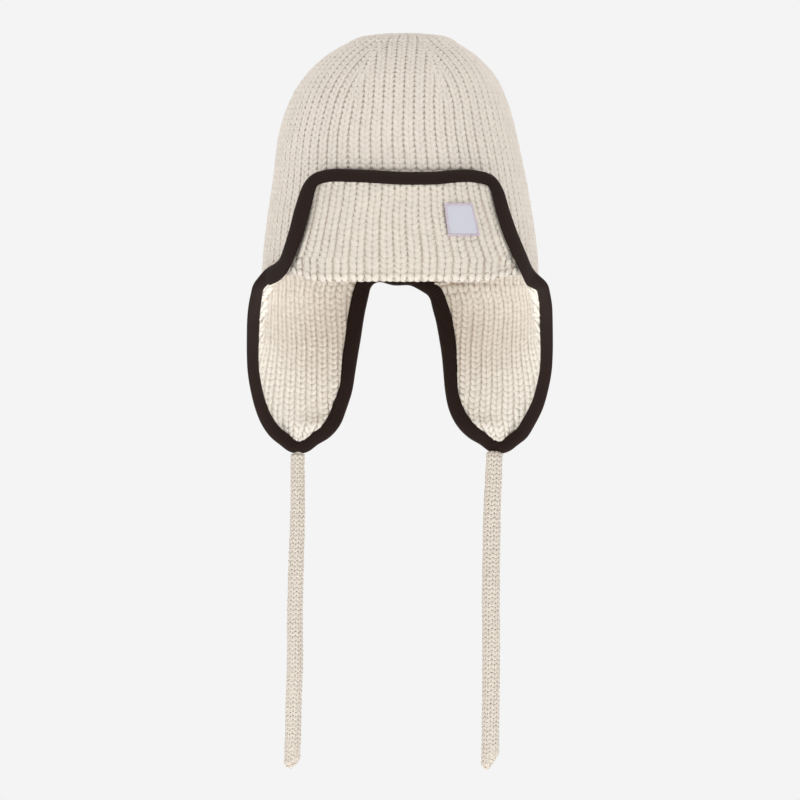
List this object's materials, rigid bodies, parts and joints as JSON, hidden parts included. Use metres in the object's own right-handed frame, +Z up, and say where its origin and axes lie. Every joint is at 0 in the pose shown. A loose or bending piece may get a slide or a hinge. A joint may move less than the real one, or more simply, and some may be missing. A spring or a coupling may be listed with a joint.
{
  "type": "earflap beanie",
  "caption": "Chunky rib-knit beanie with a turned-up front flap, two hanging ear flaps edged in a dark knitted binding, and knitted ties",
  "frame": {"origin": "middle of the head opening, level with the folded front edge, where the hat sits on a head", "axes": "+Z up to the crown's top, the face opening towards -Y, the wearer's left towards +X"},
  "size_m": [0.2216, 0.2147, 0.5311],
  "materials": {
    "knit": "cream chunky half-cardigan rib knit",
    "binding_knit": "dark brown fine knitted binding",
    "tie_knit": "cream knitted i-cord",
    "label_cloth": "pale woven label with an overlocked border, bare"
  },
  "bodies": {
    "root": {"crown": "knit", "front_flap": "knit", "ear_flap_left": "knit", "ear_flap_right": "knit", "binding": "binding_knit", "tie_cord_left": "tie_knit", "tie_cord_right": "tie_knit", "label": "label_cloth"}
  },
  "joints": []
}
